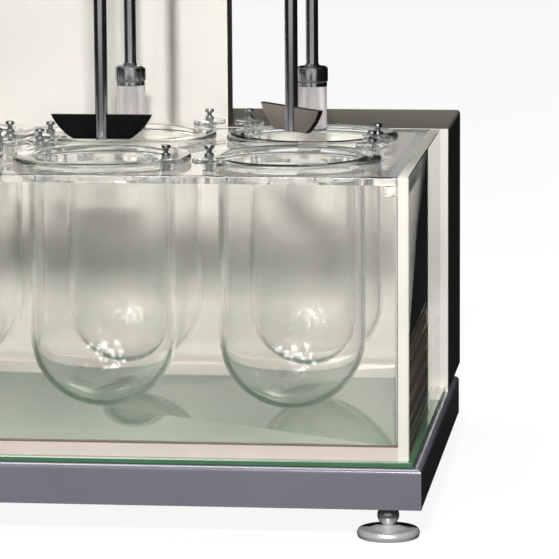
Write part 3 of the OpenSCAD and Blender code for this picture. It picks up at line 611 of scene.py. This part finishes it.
def slab(half_x, half_y, low, high, radius, edge, steps=6):
    """Plate with round corners and chamfered edges."""
    outer = rounded_ring(half_x, half_y, radius, steps)
    inner = rounded_ring(half_x - edge, half_y - edge, max(radius - edge, HAIR), steps)
    return loft([inner, outer, outer, inner], [low, low + edge, high - edge, high])


def shaft(radius, low, high):
    """Round rod with softened ends."""
    soft = 0.0005
    return revolve(fillet([(0, low, 0), (radius, low, soft), (radius, high, soft), (0, high, 0)]), 40)


def tube(path, radius, sides):
    """Round section carried along a path off the +Z axis; a path that ends where it starts is closed."""
    ahead = np.gradient(path, axis=0)
    if np.allclose(path[0], path[-1]):
        ahead[0] = ahead[-1] = path[1] - path[-2]
    ahead /= np.linalg.norm(ahead, axis=1)[:, None]
    out = np.column_stack([path[:, :2], 0 * path[:, 0]])
    out /= np.linalg.norm(out, axis=1)[:, None]
    across = np.cross(ahead, out)
    angle = np.linspace(0, TURN, sides, endpoint=False)[None, :, None]
    ring = path[:, None] + radius * (np.cos(angle) * out[:, None] + np.sin(angle) * across[:, None])
    return grid(ring, wrap_along=True)


def piece(name, surface, body, slot, replaced=(), finish=None):
    """Makes a surface a welded piece on its body, with its finish."""
    points, faces = surface
    mesh = bpy.data.meshes.new(name)
    mesh.from_pydata(points.tolist(), [], faces.tolist())
    work = bmesh.new()
    work.from_mesh(mesh)
    bmesh.ops.remove_doubles(work, verts=work.verts, dist=WELD)
    bmesh.ops.dissolve_degenerate(work, edges=work.edges, dist=SLIVER)
    bmesh.ops.recalc_face_normals(work, faces=work.faces)
    work.to_mesh(mesh)
    work.free()
    mesh.shade_smooth()
    mesh.set_sharp_from_angle(angle=CREASE)
    mesh.materials.append(FINISHES[finish or slot])
    made = bpy.data.objects.new(name, mesh)
    bpy.context.scene.collection.objects.link(made)
    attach(made, body)
    if replaced:
        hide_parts(*replaced)
    return made


def dress(name, finish):
    """Gives a solid its finish."""
    slots = NODES[name].data.materials
    slots.clear()
    slots.append(FINISHES[finish])


def let_light_through(made):
    """Lamps shine through a clear piece."""
    made.visible_shadow = False


# Operators


class TESTER_OT_stage(bpy.types.Operator):
    """Camera, floor, room and lamps"""

    bl_idname = "tester.stage"
    bl_label = "Stage"

    def execute(self, context):
        scene = context.scene
        stage = scene.tester_stage
        self.camera(scene, stage)
        self.room(scene, stage)
        self.floor(stage)
        self.flags()
        self.lamps(scene, stage)
        scene.view_settings.view_transform = "Standard"
        scene.cycles.max_bounces = 40
        scene.cycles.transmission_bounces = 40
        scene.cycles.glossy_bounces = 12
        scene.cycles.caustics_reflective = False
        scene.cycles.caustics_refractive = False
        return {"FINISHED"}

    def camera(self, scene, stage):
        """Camera of the main view."""
        lens = bpy.data.cameras.new("camera")
        lens.lens = stage.lens
        lens.clip_end = 50
        made = bpy.data.objects.new("camera", lens)
        scene.collection.objects.link(made)
        ahead = Vector((
            -math.sin(stage.yaw) * math.cos(stage.pitch),
            math.cos(stage.yaw) * math.cos(stage.pitch),
            math.sin(stage.pitch)))
        right = Vector((math.cos(stage.yaw), math.sin(stage.yaw), 0))
        up = right.cross(ahead)
        c, s = math.cos(stage.roll), math.sin(stage.roll)
        right, up = right * c + up * s, up * c - right * s
        turn = Matrix((right, up, -ahead)).transposed().to_4x4()
        made.matrix_world = Matrix.Translation(stage.eye) @ turn
        scene.camera = made

    def direct(self, book):
        """1 where the camera looks straight or through glass only, 0 after any reflection or scattering.

        The other two are the number of scatterings, and 1 where light came through glass.
        """
        seen, through, glossy, diffuse = book.split(
            "LightPath", {}, "Is Camera Ray", "Is Transmission Ray", "Glossy Depth", "Diffuse Depth")
        clean = 1.0 - (glossy + diffuse).above(0.0, 1.0)
        return seen.math("MAXIMUM", seen, through * clean), diffuse, through

    def front(self, across, depth, dim):
        """1 in the sector in front of the tester, dim to the sides and behind."""
        angle = across.math("ARCTAN2", across, depth * -1.0)
        inside = angle.above(*FRONT_LEFT) * (1.0 - angle.above(*FRONT_RIGHT))
        return inside * (1.0 - dim) + dim

    def room(self, scene, stage):
        """White where it is seen direct; elsewhere a room that is bright in front and dim all round."""
        world = bpy.data.worlds.new("room")
        book = Book(world)
        way = book.node("TexCoord", out="Generated")
        side, depth, rise = book.split("SeparateXYZ", {0: way}, "X", "Y", "Z")
        high = rise.above(*OVERHEAD)
        white, _, through = self.direct(book)
        dim = through * SEEN_THROUGH + stage.dim
        light = self.front(side, depth, dim) * (1.0 - high) + high * CEILING_LIGHT
        strength = white + (1.0 - white) * light * stage.room
        shade = book.node("Background", {}, {"Color": (1, 1, 1, 1), "Strength": strength})
        book.node("OutputWorld", {}, {"Surface": shade})
        scene.world = world

    def floor(self, stage):
        """Pale floor that shows white with a faint shadow, and bright only in front in metal and glass."""
        made, book = new_book("floor")
        white, diffuse, through = self.direct(book)
        side, depth = book.split("SeparateXYZ", {0: book.place()}, "X", "Y")
        far = (depth * -1.0).above(*FLOOR_FAR) * (1.0 - FLOOR_NEAR_LIGHT) + FLOOR_NEAR_LIGHT
        dim = through * SEEN_THROUGH + stage.dim
        tip = 0.1
        light = self.front(side - tip, depth + tip, dim) * far * stage.mirrored
        mirrored = (1.0 - white) * (1.0 - diffuse.above(0.0, 1.0)) * light
        strength = white * FLOOR_GLOW + mirrored
        glow = book.node("Emission", {}, {"Color": (1, 1, 1, 1), "Strength": strength})
        base = book.node("BsdfDiffuse", {}, {"Color": white * FLOOR_PALE + FLOOR_DARK})
        both = book.node("AddShader", {}, {0: glow, 1: base})
        book.node("OutputMaterial", {}, {"Surface": both})
        half = FLOOR_HALF
        self.card("floor", [(-half, -half, 0), (half, -half, 0), (half, half, 0), (-half, half, 0)], made)

    def flags(self):
        """Strips that cast a band across the panel behind the vessels and a streak up the column."""
        made, book = new_book("flag")
        black = book.node("BsdfDiffuse", {}, {"Color": (0.02, 0.02, 0.02, 1)})
        book.node("OutputMaterial", {}, {"Surface": black})
        for name, y, left, right, low, high in FLAGS:
            corners = [(left, y, low), (right, y, low), (right, y, high), (left, y, high)]
            flag = self.card(name, corners, made)
            flag.visible_camera = False
            flag.visible_diffuse = False
            flag.visible_glossy = False
            flag.visible_transmission = False

    def card(self, name, corners, finish):
        """Flat sheet of the stage."""
        mesh = bpy.data.meshes.new(name)
        mesh.from_pydata(corners, [], [(0, 1, 2, 3)])
        mesh.materials.append(finish)
        made = bpy.data.objects.new(name, mesh)
        bpy.context.scene.collection.objects.link(made)
        return made

    def lamps(self, scene, stage):
        """A small key lamp in front, a soft one above, and others for blades, casing and vessels only."""
        aim = Vector((0.1, 0.0, 0.2))
        blade = Vector((0.21, -0.13, 0.29))
        self.lamp(scene, "key", (0.33, -1.77, 1.07), aim, stage.key_power, wide=0.2, tall=0.06)
        self.lamp(scene, "ceiling", (-0.35, -0.3, 2.6), aim, stage.top_power, wide=1.2, tall=1.2)
        left = self.lamp(
            scene, "left_card", (-1.25, 0.25, 0.12), blade, stage.left_power, wide=0.6, tall=0.4)
        left.data.color = WARM
        left.light_linking.receiver_collection = bpy.data.collections.new(LEFT_LIT)
        rear = self.lamp(scene, "rear", (-0.2, 2.6, 1.0), aim, stage.rear_power, wide=1.5, tall=0.8)
        rear.visible_glossy = False
        rear.light_linking.receiver_collection = bpy.data.collections.new(REAR_LIT)
        glinting = bpy.data.collections.new(GLINTING)
        for k, angles in enumerate(GLINT_WAYS):
            turn, rise = np.radians(angles)
            flat = math.cos(rise)
            way = Vector((math.sin(turn) * flat, -math.cos(turn) * flat, math.sin(rise)))
            spot = aim + GLINT_FAR * way
            made = self.lamp(scene, f"glint_{k}", spot, aim, stage.glint_power, GLINT_WIDE, GLINT_WIDE)
            made.data.cycles.use_multiple_importance_sampling = False
            made.light_linking.receiver_collection = glinting

    def lamp(self, scene, name, place, aim, power, wide, tall):
        """Flat lamp that faces a point."""
        light = bpy.data.lights.new(name, "AREA")
        light.shape = "RECTANGLE"
        light.size, light.size_y = wide, tall
        light.energy = power
        made = bpy.data.objects.new(name, light)
        made.location = place
        made.rotation_euler = (aim - Vector(place)).to_track_quat("-Z", "Y").to_euler()
        scene.collection.objects.link(made)
        return made


class TESTER_OT_casing(bpy.types.Operator):
    """Finishes of the solids that show as they are"""

    bl_idname = "tester.casing"
    bl_label = "Casing"

    def execute(self, context):
        make_finishes(context.scene.tester_finish)
        for part in frame["record"]["subparts"]:
            dress(part["node"], part["material_slot"])
        let_light_through(NODES["vessel_plate"])
        shown_behind = (
            "housing_shell", "column_shell", "head_cover", "base_tray", "power_inlet", "power_switch")
        for name in shown_behind:
            bpy.data.collections[REAR_LIT].objects.link(NODES[name])
        return {"FINISHED"}


class TESTER_OT_tank(bpy.types.Operator):
    """Bath of bonded clear sheets, its ledges and the glass plate under it"""

    bl_idname = "tester.tank"
    bl_label = "Tank"

    def execute(self, context):
        sizes = context.scene.tester_tank
        low, high = node_box("tank_front_wall")
        rear = node_box("tank_rear_wall")[1][1]
        floor = node_box("tank_floor")[1][2]
        wall = high[1] - low[1]
        middle = np.array([0, (low[1] + rear) / 2, 0])
        half = np.array([high[0], (rear - low[1]) / 2])
        edge, corner = sizes.edge, sizes.corner
        outer = rounded_ring(*half, 2 * edge)
        outer_in = rounded_ring(*(half - edge), edge)
        inner_out = rounded_ring(*(half - wall + edge), corner)
        inner = rounded_ring(*(half - wall), corner)
        cove = sizes.cove
        angles = np.linspace(0, 1.5, 5)
        foot = [rounded_ring(*(half - wall - cove * (1 - math.cos(a))), corner) for a in angles]
        foot_z = [floor + cove * (1 - math.sin(a)) for a in angles]
        rings = [outer_in, outer, outer, outer_in, inner_out, inner] + foot
        heights = [low[2], low[2] + edge, high[2] - edge, high[2], high[2], high[2] - edge] + foot_z
        bath = placed(loft(rings, heights), middle)
        sheets = ("tank_floor", "tank_front_wall", "tank_rear_wall", "tank_end_walls")
        made = piece("bath", bath, "frame", "clear_acrylic", sheets)
        let_light_through(made)
        inside = low + np.array([wall, wall, 0]), np.array([high[0] - wall, rear - wall, high[2]])
        self.edges(sizes, *inside, floor, wall)
        self.ledges(sizes, node_box("plate_ledges"))
        self.under(sizes, node_box("base_glass"))
        return {"FINISHED"}

    def edges(self, sizes, low, high, floor, wall):
        """Sawn edges round the floor, down the front corners and on the end walls' tops, and the cement."""
        film, edge, line = sizes.film, sizes.edge, sizes.line
        (x0, y0, z0), (x1, y1, z1) = low, high
        z0 += film
        top = floor - film
        outer = x1 + wall - edge
        ring = [block((x0, y0 - film, z0), (x1, y0, top)), block((x0, y1, z0), (x1, y1 + film, top))]
        walls = []
        bonds = [block((x0, y0, floor), (x1, y0 + line, floor + line))]
        for side in (-1, 1):
            ring.append(block((side * x1, y0, z0), (side * (x1 + film), y1, top)))
            corner = side * (x1 + edge)
            front, back = y0 - wall + edge, y1 + wall - edge
            walls += [
                block((side * x1, y0 - film, z0), (side * outer, y0, z1 - edge)),
                block((corner, front, z1), (side * outer, back, z1 + film))]
            bonds.append(block((corner, y0, z0), (side * outer, y1, z0 + film)))
        kinds = (
            ("floor_edges", ring, "sawn_edge"),
            ("wall_edges", walls, "cut_edge"),
            ("bond_line", bonds, "bond"))
        for name, strips, finish in kinds:
            made = piece(name, join(*strips), "frame", "clear_acrylic", finish=finish)
            let_light_through(made)

    def ledges(self, sizes, box):
        """Two bars along the bath's end walls."""
        low, high = box
        film, width = sizes.film, sizes.ledge
        half = np.array([width / 2 - film, (high[1] - low[1]) / 2 - film])
        bar = slab(*half, low[2], high[2] - film, sizes.edge, sizes.edge)
        y = (low[1] + high[1]) / 2
        x = high[0] - width / 2
        bars = join(placed(bar, (-x, y, 0)), placed(bar, (x, y, 0)))
        made = piece("ledges", bars, "frame", "clear_acrylic", ("plate_ledges",))
        let_light_through(made)

    def under(self, sizes, box):
        """Glass plate between the base and the bath."""
        low, high = box
        half = (high - low)[:2] / 2
        middle = (low + high)[:2] / 2
        plate = slab(*half, low[2], high[2] + sizes.film, sizes.plate_corner, sizes.plate_edge)
        piece("under_glass", placed(plate, (*middle, 0)), "frame", "plate_glass", ("base_glass",))


class TESTER_OT_vessels(bpy.types.Operator):
    """Round-bottomed flanged vessels"""

    bl_idname = "tester.vessels"
    bl_label = "Vessels"

    def execute(self, context):
        sizes = context.scene.tester_vessel
        film = context.scene.tester_tank.film
        for i in POSITIONS:
            low, high = node_box(f"vessel_{i}")
            shape = self.shape(sizes, (high[0] - low[0]) / 2, low[2], high[2], film)
            shape = placed(shape, (*(low + high)[:2] / 2, 0))
            made = piece(f"glass_{i}", shape, "frame", "vessel_glass", (f"vessel_{i}",))
            let_light_through(made)
            bpy.data.collections[GLINTING].objects.link(made)
        return {"FINISHED"}

    def shape(self, sizes, flange_r, bottom, top, film):
        """Outer and inner half ball, the tube between and the flange with its round edges."""
        outer, wall = sizes.tube / 2, sizes.wall
        root, below, above, lip = 0.0012, 0.0022, 0.0026, 0.0022
        inner = outer - wall
        centre = (0.0, bottom + outer)
        under = top - sizes.flange + film
        outside = fillet([
            (outer, centre[1], 0), (outer, under, root), (flange_r, under, below), (flange_r, top, above),
            (inner, top, lip), (inner, centre[1], 0)])
        profile = np.concatenate([
            arc(centre, outer, -math.pi / 2, 0, 33)[:-1],
            outside,
            arc(centre, inner, 0, -math.pi / 2, 33)[1:]])
        return revolve(profile, 128)


class TESTER_OT_clips(bpy.types.Operator):
    """Clear clips on their spacers, with chromed screws"""

    bl_idname = "tester.clips"
    bl_label = "Clips"

    def execute(self, context):
        sizes = context.scene.tester_clip
        film = context.scene.tester_tank.film
        low, high = node_box("vessel_clips")
        flange = node_box("vessel_1")[1][2]
        half = np.array([sizes.length, sizes.width]) / 2
        edge, soft = 0.0008, 0.0004
        bar = slab(*half, flange + film, high[2], half[1] - HAIR, edge, 10)
        radius, foot = sizes.spacer / 2, low[2] + film
        side = [(0, foot, 0), (radius, foot, soft), (radius, flange, soft), (0, flange, 0)]
        spacer = revolve(fillet(side), 40)
        screw = self.screw(sizes, node_box("clip_screws"), high[2])
        spots = self.spots(sizes)
        clips = join(*[placed(join(bar, spacer), *spot) for spot in spots])
        made = piece("clips", clips, "frame", "clear_acrylic", ("vessel_clips",))
        let_light_through(made)
        screws = join(*[placed(screw, *spot) for spot in spots])
        piece("screws", screws, "frame", "chrome", ("clip_screws",), "polished_steel")
        return {"FINISHED"}

    def spots(self, sizes):
        """Place and turn of each screw: two a vessel, on diagonals that alternate."""
        out = []
        for i in POSITIONS:
            middle = node_middle(f"vessel_{i}")
            row, column = divmod(i - 1, COLUMNS)
            lean = sizes.angle if (column + row) % 2 else -sizes.angle
            for turn in (lean, lean + math.pi):
                x = middle[0] + sizes.reach * math.cos(turn)
                y = middle[1] + sizes.reach * math.sin(turn)
                out.append(((x, y, 0), turn))
        return out

    def screw(self, sizes, box, clip_top):
        """Shank, nut, thread and a domed cap, as one profile carried round."""
        low, high = box
        r, cap = sizes.shank / 2, sizes.cap / 2
        nut = clip_top + sizes.cap_height
        neck = high[2] - sizes.cap_height
        ridge_height = 0.0004
        z = np.linspace(nut, neck, 41)
        ridge = r + ridge_height * np.sin((z - nut) / sizes.thread * TURN)
        start = fillet([
            (0, low[2], 0), (r, low[2], 0.0003), (r, clip_top, 0), (cap, clip_top, 0.0005),
            (cap, nut, 0.0006), (r, nut, 0)])
        end = fillet([(r, neck, 0), (cap, neck, 0.0004), (cap, high[2], 0.0012), (0, high[2], 0)])
        return revolve(np.concatenate([start, np.column_stack([ridge, z])[1:-1], end]), 28)


class TESTER_OT_feet(bpy.types.Operator):
    """Chromed levelling feet"""

    bl_idname = "tester.feet"
    bl_label = "Feet"

    def execute(self, context):
        sizes = context.scene.tester_foot
        for i in FEET:
            node = f"foot_{i}"
            low, high = node_box(node)
            shape = revolve(self.profile(sizes, (high[0] - low[0]) / 2, high[2]), 72)
            shape = placed(shape, (*(low + high)[:2] / 2, 0))
            made = piece(f"levelling_foot_{i}", shape, node, "chrome", (node,), "foot_metal")
            bpy.data.collections[REAR_LIT].objects.link(made)
        return {"FINISHED"}

    def profile(self, sizes, disc, top):
        """Disc with a round rim, a shallow dome, the ball of the neck and the threaded stem."""
        r, ball, stem = disc, sizes.neck / 2, sizes.stem / 2
        rim = sizes.rim
        sunk, groove = 0.001, 0.0005
        centre = sizes.dome + ball - sunk
        foot = fillet([
            (0, 0, 0), (r - 0.001, 0, 0.0008), (r, rim / 2, 0.003), (r - 0.0012, rim, 0.0022),
            (0.6 * r, rim + 0.0006, 0.004), (0.36 * r, sizes.dome, 0.003), (ball * 0.62, sizes.dome, 0)], 8)
        angle = math.asin(min(1, (centre - sizes.dome) / ball))
        neck = arc((0, centre), ball, -angle, math.acos(stem / ball), 20)
        z = np.linspace(neck[-1][1], top, 60)[1:]
        thread = stem - groove * (0.5 + 0.5 * np.sin((z - z[0]) / sizes.thread * TURN))
        return np.concatenate([foot[:-1], neck, np.column_stack([thread, z]), [[0, top]]])


class TESTER_OT_paddles(bpy.types.Operator):
    """Paddle blades and their shafts"""

    bl_idname = "tester.paddles"
    bl_label = "Paddles"

    def execute(self, context):
        sizes = context.scene.tester_stirrer
        proud = 0.0005
        for i in IN_ROW:
            low, high = node_box(f"paddle_{i}")
            middle = node_middle(f"spindle_{i}")
            spot = (middle[0], middle[1], low[2])
            body = f"stirrer_{i}"
            blade = placed(self.blade(sizes), spot, sizes.turns[i - 1])
            made = piece(f"blade_{i}", blade, body, "paddle_steel", (f"paddle_{i}",))
            bpy.data.collections[LEFT_LIT].objects.link(made)
            rod = shaft(sizes.shaft / 2, -proud, high[2] - low[2])
            piece(f"paddle_shaft_{i}", placed(rod, spot), body, "polished_steel")
        return {"FINISHED"}

    def blade(self, sizes):
        """Outline between two chords of a circle, carried through the thickness with softened edges."""
        radius = sizes.circle / 2
        top, bottom = sizes.top / 2, sizes.bottom / 2
        upper, lower = math.acos(top / radius), math.acos(bottom / radius)
        angle = -np.linspace(lower, upper, 14)
        side = radius * np.stack([np.cos(angle), np.sin(angle)], -1)
        side[:, 1] += radius * math.sin(lower)
        outline = np.concatenate([side, side[::-1] * np.array([-1, 1])])
        middle = outline.mean(0)
        soft = 0.0006
        inner = middle + (outline - middle) * (1 - soft / np.abs(outline - middle).max(0))
        half = sizes.thick / 2
        points, faces = loft([inner, outline, outline, inner], [-half, -half + soft, half - soft, half])
        return points[:, [0, 2, 1]] * np.array([1, -1, 1]), faces


class TESTER_OT_baskets(bpy.types.Operator):
    """Baskets of woven wire on their hubs and shafts"""

    bl_idname = "tester.baskets"
    bl_label = "Baskets"

    def execute(self, context):
        sizes = context.scene.tester_stirrer
        for k in IN_ROW:
            low, high = node_box(f"basket_{k}")
            middle = node_middle(f"spindle_{k + COLUMNS}")
            spot = (middle[0], middle[1], low[2])
            body = f"stirrer_{k + COLUMNS}"
            wires = placed(self.wires(sizes), spot)
            piece(f"basket_wire_{k}", wires, body, "basket_steel", (f"basket_{k}",))
            rims = placed(self.rims(sizes), spot)
            piece(f"basket_rims_{k}", rims, body, "basket_steel", finish="polished_steel")
            hub = revolve(self.hub(sizes, high[2] - low[2]), 56)
            piece(f"basket_shaft_{k}", placed(hub, spot), body, "polished_steel")
        return {"FINISHED"}

    def wires(self, sizes):
        """Uprights and hoops of the cup, and the rings of its bottom."""
        count, rows, rounds, sides = 44, 36, 10, 4
        inset, lowest, highest = 0.0004, 0.0015, 0.001
        radius, thick, tall = sizes.basket / 2 - inset, sizes.wire, sizes.basket_height
        upright = tube(np.array([[radius, 0, z] for z in (0.0, tall / 2, tall)]), thick, sides)
        turns = np.linspace(0, TURN, count, endpoint=False)
        angle = np.linspace(0, TURN, 49)
        circle = np.stack([np.cos(angle), np.sin(angle), 0 * angle], -1)
        levels = np.linspace(lowest, tall - highest, rows)
        hoops = [placed(tube(circle * radius, thick, sides), (0, 0, z)) for z in levels]
        radii = np.linspace(0.1, 0.95, rounds) * radius
        rings = [placed(tube(circle * r, thick, sides), (0, 0, inset)) for r in radii]
        return join(*[placed(upright, (0, 0, 0), turn) for turn in turns], *hoops, *rings)

    def rims(self, sizes):
        """Bands round the cup's top and bottom."""
        r, tall = sizes.basket / 2, sizes.basket_height
        wall, lower, upper = 0.0006, 0.0022, 0.003
        bands = []
        for low, high in ((0.0, lower), (tall - upper, tall)):
            edge = np.array([(r - wall, low), (r, low), (r, high), (r - wall, high), (r - wall, low)])
            bands.append(revolve(edge, 56))
        return join(*bands)

    def hub(self, sizes, top):
        """Disc hub with bevelled edges, and the shaft above it."""
        base, r, rod = sizes.basket_height, sizes.hub / 2, sizes.shaft / 2
        low, high = base + 0.0002, base + sizes.hub_height
        slope = 0.0015
        return fillet([
            (0, low, 0), (r - 0.001, low, 0.0003), (r, base + 0.001, 0.0003), (r, high - slope, 0.0005),
            (r - slope, high, 0.0005), (rod + slope, high, 0.001), (rod, high + 0.0025, 0.001),
            (rod, top, 0.0005), (0, top, 0)])


class TESTER_PT_panel(bpy.types.Panel):
    """Lists the builders"""

    bl_label = "Dissolution tester"
    bl_idname = "TESTER_PT_panel"
    bl_space_type = "VIEW_3D"
    bl_region_type = "UI"
    bl_category = "Tester"

    def draw(self, context):
        for operator in OPERATORS:
            self.layout.operator(operator.bl_idname)


OPERATORS = (
    TESTER_OT_stage,
    TESTER_OT_casing,
    TESTER_OT_tank,
    TESTER_OT_vessels,
    TESTER_OT_clips,
    TESTER_OT_feet,
    TESTER_OT_paddles,
    TESTER_OT_baskets,
)


def register():
    for made in (*GROUPS.values(), *OPERATORS, TESTER_PT_panel):
        bpy.utils.register_class(made)
    for name, group in GROUPS.items():
        setattr(bpy.types.Scene, name, bpy.props.PointerProperty(type=group))


def unregister():
    for name in GROUPS:
        delattr(bpy.types.Scene, name)
    for made in (TESTER_PT_panel, *reversed(OPERATORS), *reversed(GROUPS.values())):
        bpy.utils.unregister_class(made)


def main():
    register()
    for operator in OPERATORS:
        group, name = operator.bl_idname.split(".")
        getattr(getattr(bpy.ops, group), name)()


if __name__ == "__main__":
    main()
